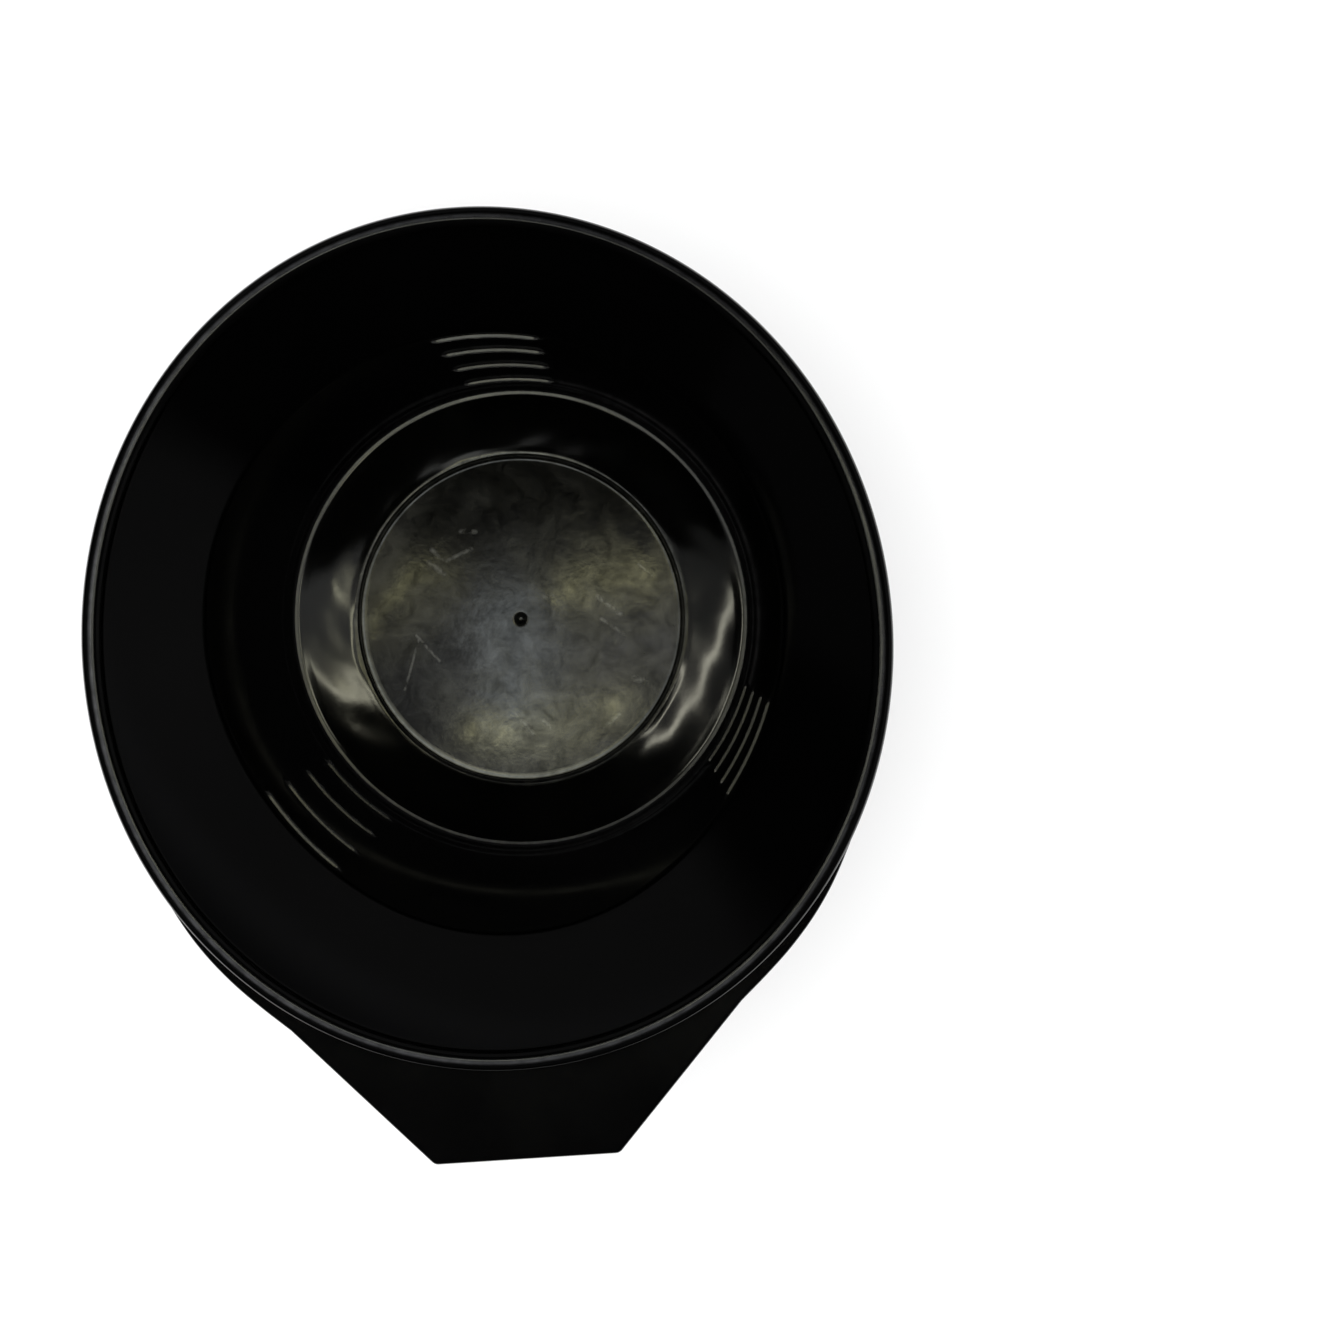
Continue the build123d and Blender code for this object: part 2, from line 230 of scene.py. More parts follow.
top_r, top_z = outer_point(56.0, TH)
add(R - BEAD_W / 2 - 0.55, cz - BEAD_H / 2 - 0.12, "outside")
for z in list(np.arange(55.9, 47.5, -0.5)) + list(np.arange(47.4, 41.9, -0.3)) + list(np.arange(41.0, 4.0, -1.6)):
    r, zo = outer_point(z, TH)
    add(r, zo, "outside")
foot_r = float(outer_point(FOOT_Z + 0.22, np.array([pi / 2]))[0][0])
add(foot_r + 0.13, 2.4, "outside")
add(foot_r + 0.07, 1.75, "outside")
for r, z in ((foot_r, 1.5), (foot_r - 0.06, 1.32), (foot_r - 0.2, 1.12), (foot_r - 0.42, 1.01), (foot_r - 0.7, FOOT_Z)):
    add(r, z, "under")
seat_out, seat_in = foot_r - FOOT_OUT_T, FOOT_IN_R + FOOT_IN_T
for r, z in ((seat_out + 0.55, FOOT_Z), (seat_out + 0.25, 1.05), (seat_out + 0.06, 1.2), (seat_out, 1.45), (seat_out, 2.4), (seat_out - 0.04, SEAT_Z - 0.1), (seat_out - 0.2, SEAT_Z),
             (39.0, SEAT_Z), (seat_in + 0.2, SEAT_Z), (seat_in + 0.04, SEAT_Z - 0.1), (seat_in, 2.4), (seat_in, 1.45), (seat_in - 0.06, 1.2), (seat_in - 0.25, 1.05), (seat_in - 0.55, FOOT_Z),
             (FOOT_IN_R + 0.55, FOOT_Z), (FOOT_IN_R + 0.25, 1.05), (FOOT_IN_R + 0.06, 1.2), (FOOT_IN_R, 1.45), (FOOT_IN_R, 2.2), (FOOT_IN_R - 0.06, 2.5), (FOOT_IN_R - 0.2, 2.7), (FOOT_IN_R - 0.5, 2.79)):
    add(r, z, "under")
for r in (28.0, 24.0, 20.0, 16.0, 12.0, 9.0, 7.5):
    add(r, FLOOR_Z - FLOOR_T, "under")
for r, z in ((7.2, 2.79), (7.0, 2.74), (6.85, 2.62), (6.6, 2.58), (4.0, 2.58), (2.0, 2.58), (0.8, 2.58)):
    add(r, z, "under")


def grid_mesh(name, rings, zones, slots):
    n = len(rings)
    verts = np.concatenate(rings) * MM
    low_c = len(verts)
    first = np.array([[0, 0, rings[0][0][2]]]) * MM
    last = np.array([[0, 0, rings[-1][0][2]]]) * MM
    verts = np.concatenate([verts, first, last])
    faces, mats = [], []
    for j in range(n - 1):
        a, b = j * COLUMNS, (j + 1) * COLUMNS
        m = slots.index(zones[j])
        for i in range(COLUMNS):
            k = (i + 1) % COLUMNS
            faces.append((a + i, b + i, b + k, a + k))
            mats.append(m)
    for i in range(COLUMNS):
        k = (i + 1) % COLUMNS
        faces.append((low_c, i, k))
        mats.append(slots.index(zones[0]))
        faces.append((low_c + 1, (n - 1) * COLUMNS + k, (n - 1) * COLUMNS + i))
        mats.append(slots.index(zones[-1]))
    me = bpy.data.meshes.new(name)
    me.from_pydata([tuple(v) for v in verts], [], faces)
    me.polygons.foreach_set("material_index", mats)
    me.polygons.foreach_set("use_smooth", [True] * len(faces))
    me.update()
    return me


SLOTS = ["floor", "channel", "edge", "wall", "bead", "outside", "under"]
body_mesh = grid_mesh("bowl_moulding", rings, zone, SLOTS)
# per-vertex strength of the painted highlight, stored as a mesh attribute for the materials
painted_highlight_at = np.zeros(len(body_mesh.vertices), dtype=np.float32)
for j, v in painted_highlight.items():
    painted_highlight_at[j * COLUMNS:(j + 1) * COLUMNS] = v
body_mesh.attributes.new("painted_highlight", "FLOAT", "POINT").data.foreach_set("value", painted_highlight_at)
bowl = bpy.data.objects.new("bowl_moulding", body_mesh)
scene.collection.objects.link(bowl)

# ------------------------------------------------------------------ grip tab
def bez(points, n):
    return [np.array(p) for p in smooth_line(points, n)]


def tab_curves():
    # outer edge and inner edge of the turned-down rim, one side (+X); the line where the plate meets the bowl is drawn
    # further down
    th = radians(60)
    r = float(rim_r(th)) - 0.05
    end = (r * sin(th), -r * cos(th))
    outer = bez([(38.6, -66.8), (43.7, -62.2), (48.2, -57.7), (52.6, -52.3), (56.5, -46.0), end], 60)
    inner = bez([(37.4, -65.6), (42.5, -60.9), (47.0, -56.2), (51.2, -51.1), (54.9, -45.0), (end[0] - 1.6, end[1] + 0.4)], 60)
    return outer, inner


side_outer, side_inner = tab_curves()
rc = 1.6                                                   # plan radius of an end corner
corner = np.array([15.9, -91.5])
along = np.array([38.6, -66.8]) - corner
along = along / np.linalg.norm(along)
turn = math.acos(float(np.dot(along, np.array([1.0, 0.0]))))      # how far the edge turns at the corner
back = rc * math.tan(turn / 2)
c_mid = corner + np.array([-back, rc])
arc = [c_mid + rc * np.array([sin(a), -cos(a)]) for a in np.linspace(0, turn, 9)]
n_end, n_straight = 9, 22
half_outer = [np.array([x, -91.5]) for x in np.linspace(0, arc[0][0], n_end)[:-1]] + arc
start = arc[-1]
half_outer += [start + (side_outer[0] - start) * f for f in np.linspace(0, 1, n_straight)[1:-1]]
half_outer += side_outer
ci = corner + np.array([-0.55, TAB_SKIRT_T])
arc_in = [ci + (0.25 * np.array([sin(a), -cos(a)])) for a in np.linspace(0, turn, 9)]
half_inner = [np.array([x, -91.5 + TAB_SKIRT_T - 0.25]) for x in np.linspace(0, arc_in[0][0], n_end)[:-1]] + arc_in
start = arc_in[-1]
half_inner += [start + (side_inner[0] - start) * f for f in np.linspace(0, 1, n_straight)[1:-1]]
half_inner += side_inner
N_HALF = len(half_outer)
th_end = radians(60)
half_root = []
lens = [0.0]
for a, b in zip(half_outer, half_outer[1:]):
    lens.append(lens[-1] + float(np.linalg.norm(b - a)))
for i in range(N_HALF):
    f = lens[i] / lens[-1]
    # near the tip the lines run back to the bowl along the tab, further on they swing round with the rim
    th = th_end * (0.62 * f + 0.38 * f ** 2)
    rr = float(rim_r(th)) - 2.9
    half_root.append(np.array([rr * sin(th), -rr * cos(th)]))

outer_line = [np.array([-p[0], p[1]]) for p in reversed(half_outer[1:])] + half_outer
inner_line = [np.array([-p[0], p[1]]) for p in reversed(half_inner[1:])] + half_inner
root_line = [np.array([-p[0], p[1]]) for p in reversed(half_root[1:])] + half_root


def inward(line, i):
    a, b = line[max(i - 1, 0)], line[min(i + 1, len(line) - 1)]
    t = (b - a) / (np.linalg.norm(b - a) + 1e-12)
    return np.array([-t[1], t[0]])                         # left of the travel, toward the bowl


def skirt_bottom(y):
    # the turned-down edge dies out toward the rim
    full = TAB_TOP_Z - TAB_SKIRT_D
    if y <= -76:
        return full
    return min(full + (y + 76) * (TAB_SKIRT_D - 0.6) / 40.0, TAB_TOP_Z - TAB_T - 0.05 + 0.8)


sections = []
FIL = 0.55
for i in range(len(outer_line)):
    P, I, Q = outer_line[i], inner_line[i], root_line[i]
    nrm = inward(outer_line, i)
    zb = skirt_bottom(P[1])
    plate_under = min(TAB_TOP_Z - TAB_T, TAB_TOP_Z - 0.9)
    zb = min(zb, plate_under - 0.02)
    pts = []
    n_top = 30
    Pt = P + nrm * FIL
    for k in range(n_top + 1):
        f = k / n_top
        w = Q + (Pt - Q) * f
        pts.append((w[0], w[1], TAB_TOP_Z))
    for a in (18, 36, 54, 72, 90):
        a = radians(a)
        w = P + nrm * (FIL - FIL * sin(a))
        pts.append((w[0], w[1], TAB_TOP_Z - FIL + FIL * cos(a)))
    side_n = 4
    z0 = TAB_TOP_Z - FIL
    for k in range(1, side_n + 1):
        z = z0 + (zb + 0.35 - z0) * k / side_n
        pts.append((P[0], P[1], z))
    for a in (30, 60, 90):
        a = radians(a)
        w = P + nrm * (0.35 - 0.35 * cos(a))
        pts.append((w[0], w[1], zb + 0.35 - 0.35 * sin(a)))
    nI = (P - I) / (np.linalg.norm(P - I) + 1e-12)
    w = I + nI * 0.3
    pts.append((w[0], w[1], zb))
    for a in (30, 60, 90):
        a = radians(a)
        w = I + nI * (0.3 - 0.3 * sin(a))
        pts.append((w[0], w[1], zb + 0.3 - 0.3 * cos(a)))
    zi = max(plate_under - 0.3, zb + 0.3)
    pts.append((I[0], I[1], zi))
    w = I + (Q - I) * min(0.5, 0.3 / (np.linalg.norm(Q - I) + 1e-9))
    pts.append((w[0], w[1], max(plate_under, zi + 0.02)))
    n_un = 10
    for k in range(1, n_un + 1):
        f = k / n_un
        v = w + (Q - w) * f
        pts.append((v[0], v[1], max(plate_under, zi + 0.02)))
    sections.append(np.array(pts))

m = len(sections[0])
tv = np.concatenate(sections) * MM
tf = []
for i in range(len(sections) - 1):
    a, b = i * m, (i + 1) * m
    for k in range(m):
        l = (k + 1) % m
        tf.append((a + k, a + l, b + l, b + k))
tf.append(tuple(reversed(range(m))))
tf.append(tuple((len(sections) - 1) * m + k for k in range(m)))
tab_mesh = bpy.data.meshes.new("grip_tab")
tab_mesh.from_pydata([tuple(v) for v in tv], [], tf)
tab_mesh.polygons.foreach_set("use_smooth", [True] * len(tf))
tab_mesh.update()
tab = bpy.data.objects.new("grip_tab", tab_mesh)
scene.collection.objects.link(tab)

import bmesh
for ob in (bowl, tab):
    bm = bmesh.new()
    bm.from_mesh(ob.data)
    bmesh.ops.recalc_face_normals(bm, faces=bm.faces)
    bm.to_mesh(ob.data)
    bm.free()
    ob.data.polygons.foreach_set("use_smooth", [True] * len(ob.data.polygons))


# ------------------------------------------------------------------ materials
class Mat:
    def __init__(self, name):
        self.m = bpy.data.materials.new(name)
        self.m.use_nodes = True
        self.nt = self.m.node_tree
        self.nt.nodes.clear()
        self.out = self.nt.nodes.new("ShaderNodeOutputMaterial")
        self.p = self.nt.nodes.new("ShaderNodeBsdfPrincipled")
        self.nt.links.new(self.p.outputs["BSDF"], self.out.inputs["Surface"])
        self.tc = self.nt.nodes.new("ShaderNodeTexCoord")

    def node(self, kind, **kw):
        n = self.nt.nodes.new(kind)
        for k, v in kw.items():
            setattr(n, k, v)
        return n

    def link(self, a, b):
        self.nt.links.new(a, b)

    def noise(self, scale, detail=3.0, rough=0.5, vec=None, distortion=0.0):
        n = self.node("ShaderNodeTexNoise")
        n.inputs["Scale"].default_value = scale
        n.inputs["Detail"].default_value = detail
        n.inputs["Roughness"].default_value = rough
        n.inputs["Distortion"].default_value = distortion
        self.link(vec or self.tc.outputs["Object"], n.inputs["Vector"])
        return n.outputs["Fac"]

    def ramp(self, fac, stops):
        n = self.node("ShaderNodeValToRGB")
        els = n.color_ramp.elements
        while len(els) > 1:
            els.remove(els[-1])
        els[0].position, els[0].color = stops[0][0], self.rgba(stops[0][1])
        for pos, col in stops[1:]:
            e = els.new(pos)
            e.color = self.rgba(col)
        self.link(fac, n.inputs["Fac"])
        return n.outputs["Color"]

    @staticmethod
    def rgba(c):
        return (c, c, c, 1.0) if isinstance(c, (int, float)) else (*c, 1.0)

    def maprange(self, v, a, b, c, d):
        n = self.node("ShaderNodeMapRange")
        n.inputs["From Min"].default_value = a
        n.inputs["From Max"].default_value = b
        n.inputs["To Min"].default_value = c
        n.inputs["To Max"].default_value = d
        self.link(v, n.inputs["Value"])
        return n.outputs["Result"]

    def math(self, op, a, b=None):
        n = self.node("ShaderNodeMath", operation=op)
        for i, v in enumerate((a, b)):
            if v is None:
                continue
            if isinstance(v, (int, float)):
                n.inputs[i].default_value = v
            else:
                self.link(v, n.inputs[i])
        return n.outputs[0]

    def mapping(self, scale=(1, 1, 1), rot=(0, 0, 0), loc=(0, 0, 0)):
        n = self.node("ShaderNodeMapping")
        n.inputs["Scale"].default_value = scale
        n.inputs["Rotation"].default_value = rot
        n.inputs["Location"].default_value = loc
        self.link(self.tc.outputs["Object"], n.inputs["Vector"])
        return n.outputs["Vector"]

    def bump(self, height, strength, distance, prev=None):
        n = self.node("ShaderNodeBump")
        n.inputs["Strength"].default_value = strength
        n.inputs["Distance"].default_value = distance
        self.link(height, n.inputs["Height"])
        if prev is not None:
            self.link(prev, n.inputs["Normal"])
        return n.outputs["Normal"]

    def blend(self, fac, a, colour):
        n = self.node("ShaderNodeMix", data_type="RGBA")
        self.link(fac, n.inputs[0])
        self.link(a, n.inputs[6])
        n.inputs[7].default_value = (*colour, 1.0)
        return n.outputs[2]

    def stroke(self, a, b, width):
        # 1 on a short straight line from a to b (mm), 0 away from it
        ax, ay, bx, by = (v * MM for v in (*a, *b))
        sub = self.node("ShaderNodeVectorMath", operation="SUBTRACT")
        flat = self.node("ShaderNodeVectorMath", operation="MULTIPLY")
        self.link(self.tc.outputs["Object"], flat.inputs[0])
        flat.inputs[1].default_value = (1, 1, 0)
        self.link(flat.outputs[0], sub.inputs[0])
        sub.inputs[1].default_value = (ax, ay, 0)
        dot = self.node("ShaderNodeVectorMath", operation="DOT_PRODUCT")
        self.link(sub.outputs[0], dot.inputs[0])
        dot.inputs[1].default_value = (bx - ax, by - ay, 0)
        k = self.node("ShaderNodeMath", operation="MULTIPLY", use_clamp=True)
        self.link(dot.outputs["Value"], k.inputs[0])
        k.inputs[1].default_value = 1.0 / ((bx - ax) ** 2 + (by - ay) ** 2)
        along = self.node("ShaderNodeVectorMath", operation="SCALE")
        along.inputs[0].default_value = (bx - ax, by - ay, 0)
        self.link(k.outputs[0], along.inputs["Scale"])
        rest = self.node("ShaderNodeVectorMath", operation="DISTANCE")
        self.link(sub.outputs[0], rest.inputs[0])
        self.link(along.outputs[0], rest.inputs[1])
        return self.maprange(rest.outputs["Value"], 0.05 * width * MM, width * MM, 1.0, 0.0)

    def scratches(self, scale, stretch, rot, width):
        # fine straight scuffs: a noise pulled long in one direction, cut to thin lines
        v = self.mapping(scale=(scale, scale * stretch, scale), rot=(0, 0, rot))
        n = self.noise(1.0, 2.0, 0.5, vec=v)
        d = self.math("ABSOLUTE", self.math("SUBTRACT", n, 0.5))
        line = self.maprange(d, 0.0, width, 1.0, 0.0)
        return line


def plastic(name, base, rough_lo, rough_hi, wave=0.3, peel=0.12, scuff=0.3, smudge=70.0, spec=0.5, film=None, strokes=(), painted_highlight_colour=None, mottle=None):
    g = Mat(name)
    tone = g.noise(55.0, 4.0, 0.6)
    col = g.ramp(tone, [(0.30, tuple(c * 0.75 for c in base)), (0.55, base), (0.75, tuple(c * 1.35 for c in base))])
    if film:
        # thin dried film, heavier in patches
        f1 = g.maprange(g.noise(330.0, 8.0, 0.74, distortion=0.9), 0.36, 0.66, 0.0, 1.0)
        f2 = g.maprange(g.noise(46.0, 3.0, 0.6, distortion=0.5), 0.40, 0.64, 0.25, 1.0)
        col = g.blend(g.math("MULTIPLY", f1, f2), col, film)
    # painted highlight: the base colour is lightened toward the given pale colour wherever the per-vertex highlight
    # attribute is set
    if painted_highlight_colour:
        at = g.node("ShaderNodeAttribute", attribute_name="painted_highlight")
        col = g.blend(g.math("MULTIPLY", at.outputs["Fac"], g.maprange(g.noise(420.0, 3.0, 0.6), 0.3, 0.65, 0.45, 1.0)), col, painted_highlight_colour)
    if strokes:
        mark_strength = g.noise(700.0, 3.0, 0.6)
        mask = None
        for x0, y0, x1, y1, w in strokes:
            m1 = g.stroke((x0, y0), (x1, y1), 1.5 * w)
            mask = m1 if mask is None else g.math("MAXIMUM", mask, m1)
        mask = g.math("MULTIPLY", mask, g.maprange(mark_strength, 0.38, 0.60, 0.0, 1.0))
        col = g.blend(mask, col, (0.075, 0.075, 0.066))
    g.link(col, g.p.inputs["Base Color"])
    sm = g.noise(smudge, 5.0, 0.62, distortion=0.8)
    rough = g.maprange(sm, 0.32, 0.72, rough_lo, rough_hi)
    s1 = g.scratches(60.0, 14.0, 0.5, 0.006)
    s2 = g.scratches(75.0, 16.0, -0.9, 0.005)
    s3 = g.scratches(50.0, 12.0, 1.9, 0.005)
    patch = g.maprange(g.noise(38.0, 2.0, 0.5), 0.50, 0.62, 0.0, 1.0)
    lines = g.math("MULTIPLY", g.math("MAXIMUM", g.math("MAXIMUM", s1, s2), s3), patch)
    rough = g.math("ADD", rough, g.math("MULTIPLY", lines, 0.22 * scuff))
    g.link(rough, g.p.inputs["Roughness"])
    b = g.bump(g.noise(90.0, 2.0, 0.5), wave, 0.00006)
    b = g.bump(g.noise(900.0, 2.0, 0.5), peel, 0.00002, prev=b)
    b = g.bump(lines, scuff, -0.00001, prev=b)
    g.link(b, g.p.inputs["Normal"])
    g.p.inputs["IOR"].default_value = 1.49
    g.p.inputs["Specular IOR Level"].default_value = spec
    if mottle:
        # the dried film dulls the shine unevenly
        g.link(g.maprange(g.noise(240.0, 8.0, 0.72, distortion=0.6), 0.34, 0.66, mottle[0], mottle[1]), g.p.inputs["Specular IOR Level"])
    return g


BLACK = (0.0003, 0.0003, 0.00032)
SCUFFS = ((-16.4, 14.9, -14.2, 12.9, 0.42), (-13.6, 12.5, -8.7, 14.5, 0.36), (-17.2, 12.5, -14.4, 10.0, 0.45), (-10.4, 18.1, -7.5, 17.7, 0.40), (15.5, 3.2, 19.7, -0.5, 0.42), (15.9, -1.3, 20.0, -4.5, 0.38),
          (-2.4, -18.7, 0.6, -22.7, 0.36), (2.8, -20.5, 4.2, -21.9, 0.40), (-20.9, -1.7, -16.8, -7.0, 0.26), (-20.5, -2.5, -24.1, -12.2, 0.24), (5.0, 4.0, 6.6, 4.0, 0.4), (21.6, -13.4, 23.6, -14.2, 0.6), (14.7, -22.7, 18.0, -20.3, 0.36),
          (24.0, 9.0, 26.5, 6.5, 0.22))
# the pale colour passed for the floor, edge, wall and bead zones is a painted highlight, laid only where the per-vertex
# highlight attribute is set
mats = {
    "floor": plastic("bowl_floor_polished", (0.0006, 0.0006, 0.0006), 0.05, 0.13, wave=0.10, peel=0.16, scuff=0.0, smudge=110.0, film=(0.0125, 0.0125, 0.0100), strokes=SCUFFS, painted_highlight_colour=(0.16, 0.16, 0.125), mottle=(0.26, 0.68)),
    "channel": plastic("bowl_channel_polished", (0.0004, 0.0004, 0.0004), 0.035, 0.08, wave=0.12, peel=0.05, scuff=0.0, film=(0.0018, 0.0018, 0.0015)),
    "edge": plastic("bowl_edge_polished", (0.0012, 0.0012, 0.0012), 0.10, 0.16, scuff=0.0, painted_highlight_colour=(0.040, 0.040, 0.039)),
    "wall": plastic("bowl_wall_gloss", BLACK, 0.09, 0.16, wave=0.12, peel=0.05, scuff=0.1, painted_highlight_colour=(0.030, 0.030, 0.028)),
    "bead": plastic("bowl_bead_gloss", (0.0006, 0.0006, 0.0006), 0.10, 0.17, wave=0.15, peel=0.05, scuff=0.0, painted_highlight_colour=(0.060, 0.061, 0.064)),
    "outside": plastic("bowl_outside_gloss", (0.0008, 0.0008, 0.00085), 0.14, 0.24, wave=0.20, peel=0.08, scuff=0.2),
    "under": plastic("bowl_under_satin", (0.0020, 0.0020, 0.0021), 0.26, 0.40, wave=0.2, peel=0.3, scuff=0.1),
}
for s in SLOTS:
    bowl.data.materials.append(mats[s].m)
tab_mat = plastic("grip_tab_satin", (0.0005, 0.0005, 0.00055), 0.13, 0.24, wave=0.15, peel=0.12, scuff=0.0, smudge=60.0, film=(0.0018, 0.0018, 0.0017))
tab.data.materials.append(tab_mat.m)

rubber = Mat("base_ring_rubber")
tone = rubber.noise(240.0, 5.0, 0.6)
rubber.link(rubber.ramp(tone, [(0.3, (0.010, 0.010, 0.0105)), (0.7, (0.018, 0.018, 0.019))]), rubber.p.inputs["Base Color"])
rubber.link(rubber.maprange(rubber.noise(160.0, 3.0, 0.5), 0.3, 0.7, 0.62, 0.82), rubber.p.inputs["Roughness"])
rubber.link(rubber.bump(rubber.noise(1500.0, 3.0, 0.6), 0.35, 0.00004), rubber.p.inputs["Normal"])
ring_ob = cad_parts["base_ring"]
if not ring_ob.data.materials:
    ring_ob.data.materials.append(rubber.m)
for i in range(len(ring_ob.material_slots)):
    ring_ob.material_slots[i].material = rubber.m

# ------------------------------------------------------------------ riding and standing for the CAD
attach(bowl, "root")
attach(tab, "root")
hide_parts("bowl_body")

# ------------------------------------------------------------------ floor, light and camera
fm = bpy.data.meshes.new("floor")
S = 6.0
fm.from_pydata([(-S, -S, 0), (S, -S, 0), (S, S, 0), (-S, S, 0)], [], [(0, 1, 2, 3)])
floor = bpy.data.objects.new("floor", fm)
scene.collection.objects.link(floor)
fmat = Mat("floor_white")
fmat.p.inputs["Roughness"].default_value = 0.9
fmat.p.inputs["Specular IOR Level"].default_value = 0.1
fmat.link(fmat.ramp(fmat.noise(3.0, 2.0, 0.5), [(0.3, 0.90), (0.7, 0.91)]), fmat.p.inputs["Base Color"])
fm.materials.append(fmat.m)

world = bpy.data.worlds.new("studio")
scene.world = world
world.use_nodes = True
world.cycles.sampling_method = "NONE"      # the sky is found by the bounced rays alone, so a mirrored ray and a diffuse one each see their own
wt = world.node_tree
wt.nodes.clear()


def wnode(kind, **kw):
    n = wt.nodes.new(kind)
    for k, v in kw.items():
        setattr(n, k, v)
    return n


def wmath(op, a, b=0.0, clamp=False):
    n = wnode("ShaderNodeMath", operation=op, use_clamp=clamp)
    for i, v in enumerate((a, b)):
        if isinstance(v, (int, float)):
            n.inputs[i].default_value = v
        else:
            wt.links.new(v, n.inputs[i])
    return n.outputs[0]


def wstep(v, a, b, lo=0.0, hi=1.0):
    n = wnode("ShaderNodeMapRange", interpolation_type="SMOOTHSTEP")
    n.inputs["From Min"].default_value = a
    n.inputs["From Max"].default_value = b
    n.inputs["To Min"].default_value = lo
    n.inputs["To Max"].default_value = hi
    wt.links.new(v, n.inputs["Value"])
    return n.outputs["Result"]


def wcolour(fac, colour):
    # colour times a brightness
    n = wnode("ShaderNodeVectorMath", operation="SCALE")
    n.inputs[0].default_value = colour
    wt.links.new(fac, n.inputs["Scale"])
    return n.outputs[0]


def wadd(a, b):
    n = wnode("ShaderNodeVectorMath", operation="ADD")
    wt.links.new(a, n.inputs[0])
    wt.links.new(b, n.inputs[1])
    return n.outputs[0]


coord = wnode("ShaderNodeTexCoord")
split = wnode("ShaderNodeSeparateXYZ")
wt.links.new(coord.outputs["Generated"], split.inputs[0])
DX, DY, DZ = split.outputs
up = wmath("MAXIMUM", DZ, 0.05)
U, V = wmath("DIVIDE", DX, up), wmath("DIVIDE", DY, up)
UV = wnode("ShaderNodeCombineXYZ")
wt.links.new(U, UV.inputs[0])
wt.links.new(V, UV.inputs[1])


def tube(points, half, soft, strength, colour):
    # a slim light that runs through the given overhead directions
    total = None
    for (ax, ay), (bx, by) in zip(points, points[1:]):
        sub = wnode("ShaderNodeVectorMath", operation="SUBTRACT")
        wt.links.new(UV.outputs[0], sub.inputs[0])
        sub.inputs[1].default_value = (ax, ay, 0)
        dot = wnode("ShaderNodeVectorMath", operation="DOT_PRODUCT")
        wt.links.new(sub.outputs[0], dot.inputs[0])
        dot.inputs[1].default_value = (bx - ax, by - ay, 0)
        k = wmath("MULTIPLY", dot.outputs["Value"], 1.0 / ((bx - ax) ** 2 + (by - ay) ** 2), clamp=True)
        along = wnode("ShaderNodeVectorMath", operation="SCALE")
        along.inputs[0].default_value = (bx - ax, by - ay, 0)
        wt.links.new(k, along.inputs["Scale"])
        rest = wnode("ShaderNodeVectorMath", operation="DISTANCE")
        wt.links.new(sub.outputs[0], rest.inputs[0])
        wt.links.new(along.outputs[0], rest.inputs[1])
        one = wstep(rest.outputs["Value"], half, half + soft, 1.0, 0.0)
        total = one if total is None else wmath("MAXIMUM", total, one)
    above = wstep(DZ, 0.5, 0.7)
    return wcolour(wmath("MULTIPLY", wmath("MULTIPLY", total, above), strength), colour)


# overhead soft panel
far = wstep(U, -0.22, -0.17, 0.060, 0.0)
v_cut = wmath("SUBTRACT", V, far)
off_side = wmath("ABSOLUTE", wmath("ADD", U, 0.126))
v_low = wmath("SUBTRACT", V, wstep(off_side, 0.045, 0.095, 0.0, 0.055))
panel = wmath("MULTIPLY", wmath("MULTIPLY", wstep(U, -0.33, -0.28), wstep(U, 0.070, 0.110, 1.0, 0.0)), wmath("MULTIPLY", wstep(v_low, -0.118, -0.098), wstep(v_cut, -0.028, 0.054, 1.0, 0.0)))
panel = wmath("MULTIPLY", panel, wstep(DZ, 0.5, 0.7))
panel = wmath("MULTIPLY", panel, wmath("MULTIPLY", wstep(U, -0.245, -0.215, 0.58, 1.0), wstep(U, -0.04, -0.015, 1.0, 0.48)))
panel = wmath("MULTIPLY", panel, wstep(U, -0.20, -0.14, 0.38, 1.0))
sky = wcolour(wmath("MULTIPLY", panel, 1.10), (0.98, 1.0, 0.97))
WARM = (1.0, 0.96, 0.48)
sky = wadd(sky, tube(((-0.100, 0.005), (-0.050, 0.009)), 0.0035, 0.006, 5.0, WARM))
sky = wadd(sky, tube(((-0.212, -0.008), (-0.186, 0.020), (-0.167, 0.014)), 0.0035, 0.007, 2.3, WARM))
sky = wadd(sky, tube(((-0.158, -0.070), (-0.126, -0.0735), (-0.098, -0.070), (-0.068, -0.061)), 0.0035, 0.006, 4.6, WARM))
sky = wadd(sky, tube(((-0.222, 0.078), (-0.25, 0.055), (-0.30, -0.02)), 0.004, 0.006, 9.0, (1.0, 0.98, 0.80)))
sky = wadd(sky, tube(((0.06, 0.012), (-0.013, 0.046)), 0.003, 0.005, 8.0, (1.0, 0.98, 0.75)))
sky = wadd(sky, tube(((-0.010, -0.035), (-0.006, 0.030)), 0.0025, 0.005, 8.0, (1.0, 0.98, 0.70)))
sky = wadd(sky, tube(((-0.133, -0.012), (-0.130, -0.060)), 0.014, 0.012, 1.5, (0.86, 0.97, 1.0)))
# soft ring of light further down
ring_light = wmath("MULTIPLY", wstep(DZ, 0.655, 0.695), wstep(DZ, 0.788, 0.822, 1.0, 0.0))
sky = wadd(sky, wcolour(wmath("MULTIPLY", ring_light, 0.03), (0.92, 0.97, 1.05)))
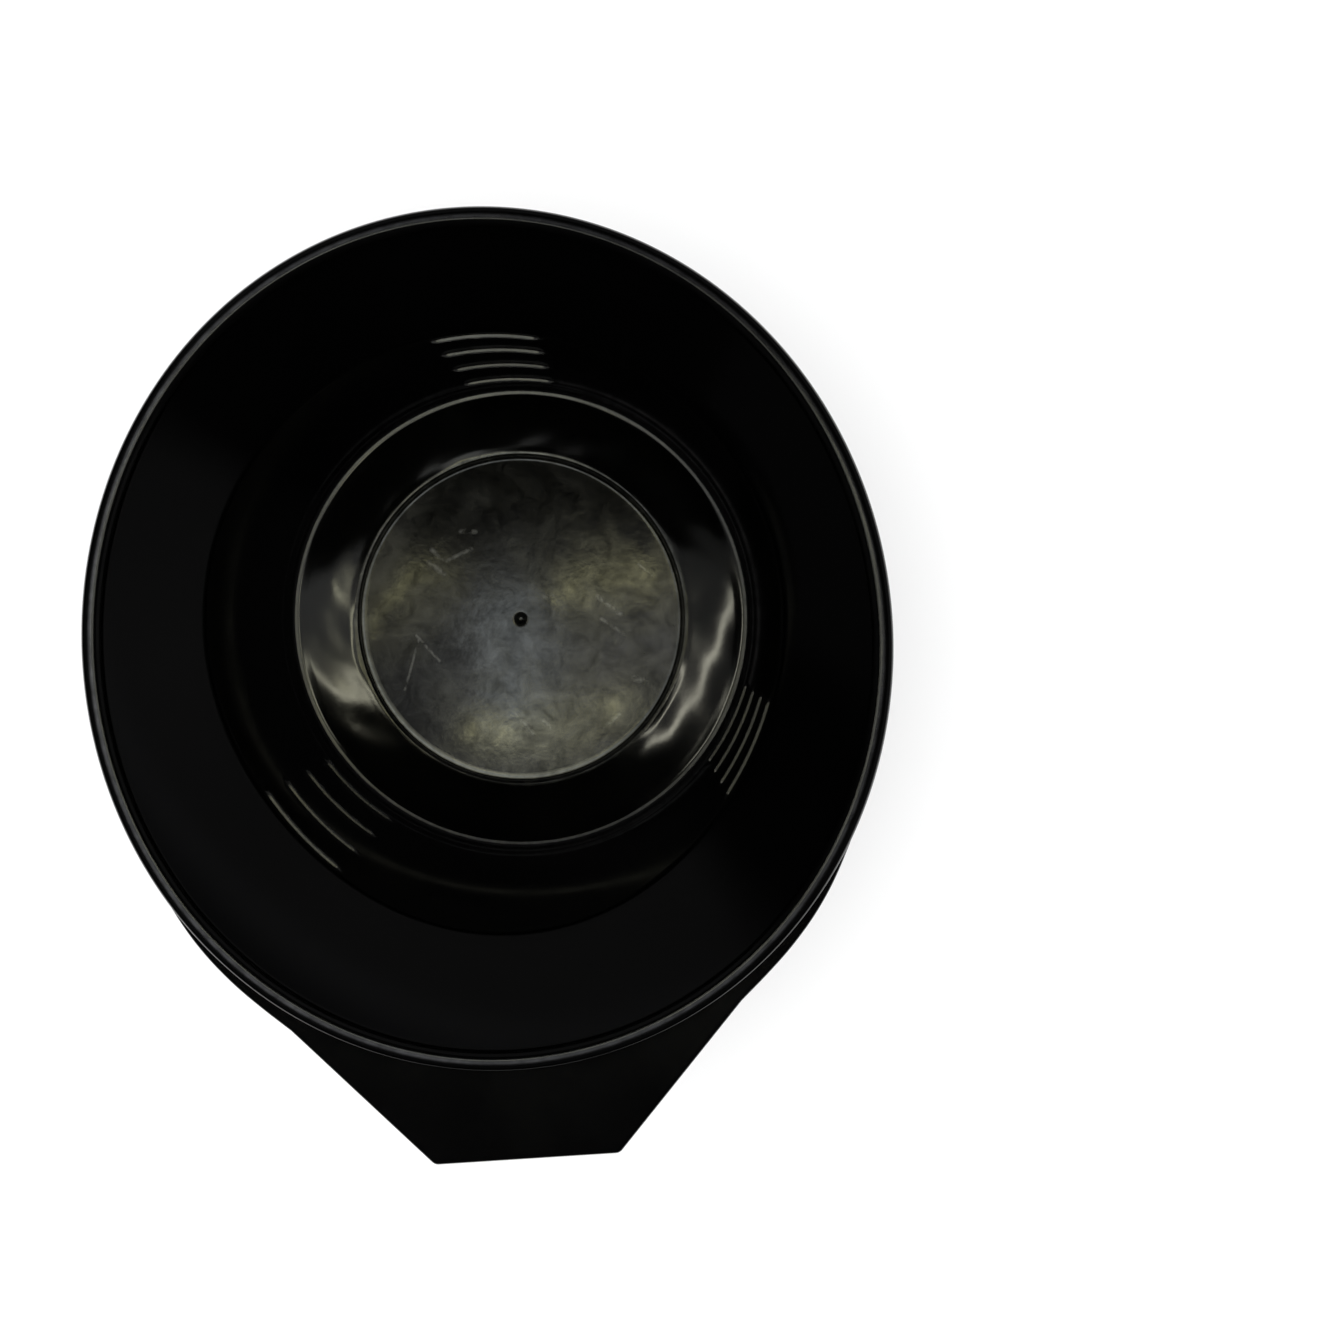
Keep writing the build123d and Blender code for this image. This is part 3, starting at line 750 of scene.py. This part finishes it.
# dim room round the horizon, darkest behind the grip
azimuth = wmath("MULTIPLY_ADD", wmath("ARCTAN2", DY, DX), 0.0)
n = azimuth.node
n.inputs[1].default_value = 1.0 / (2 * pi)
n.inputs[2].default_value = 0.5
room = wnode("ShaderNodeValToRGB")
els = room.color_ramp.elements
els[0].position, els[0].color = 0.0, (0.022,) * 3 + (1,)
els[1].position, els[1].color = 1.0, (0.022,) * 3 + (1,)
for deg, val in ((-146, 0.022), (-142, 0.003), (-45, 0.003), (-36, 0.070), (0, 0.090), (38, 0.075), (55, 0.080), (138, 0.070), (146, 0.003), (171, 0.003), (176, 0.022)):
    e = els.new((deg + 180.0) / 360.0)
    e.color = (val, val, val, 1)
wt.links.new(azimuth, room.inputs["Fac"])
low = wstep(DZ, 0.70, 0.82, 1.0, 0.0)
room_dim = wnode("ShaderNodeVectorMath", operation="SCALE")
wt.links.new(room.outputs["Color"], room_dim.inputs[0])
wt.links.new(low, room_dim.inputs["Scale"])
sky = wadd(sky, room_dim.outputs[0])
over_grip = wmath("MULTIPLY", wstep(V, -0.26, -0.17, 1.0, 0.0), wstep(DZ, 0.76, 0.86))
sky = wadd(sky, wcolour(wmath("MULTIPLY", over_grip, 0.018), (1.0, 1.0, 1.0)))

wo = wnode("ShaderNodeOutputWorld")
bright = wnode("ShaderNodeBackground")
bright.inputs["Color"].default_value = (1.0, 1.0, 1.0, 1)
bright.inputs["Strength"].default_value = 1.45
mirrored = wnode("ShaderNodeBackground")
wt.links.new(sky, mirrored.inputs["Color"])
mirrored.inputs["Strength"].default_value = 1.0
mix = wnode("ShaderNodeMixShader")
lp = wnode("ShaderNodeLightPath")
wt.links.new(lp.outputs["Is Glossy Ray"], mix.inputs["Fac"])
wt.links.new(bright.outputs[0], mix.inputs[1])
wt.links.new(mirrored.outputs[0], mix.inputs[2])
wt.links.new(mix.outputs[0], wo.inputs["Surface"])

cam_data = bpy.data.cameras.new("camera")
cam_data.sensor_width = 36.0
cam_data.lens = 1783.0 * 36.0 / 1333.0
cam_data.clip_start, cam_data.clip_end = 0.01, 50.0
cam = bpy.data.objects.new("camera", cam_data)
cam.location = (44.2 * MM, 3.1 * MM, 354.7 * MM)
cam.rotation_euler = (radians(-2.60), radians(2.46), radians(-4.5))
scene.collection.objects.link(cam)
scene.camera = cam

scene.view_settings.view_transform = "Standard"
scene.view_settings.look = "None"
scene.view_settings.exposure = 0.0
scene.view_settings.gamma = 1.0

bpy.context.view_layer.update()
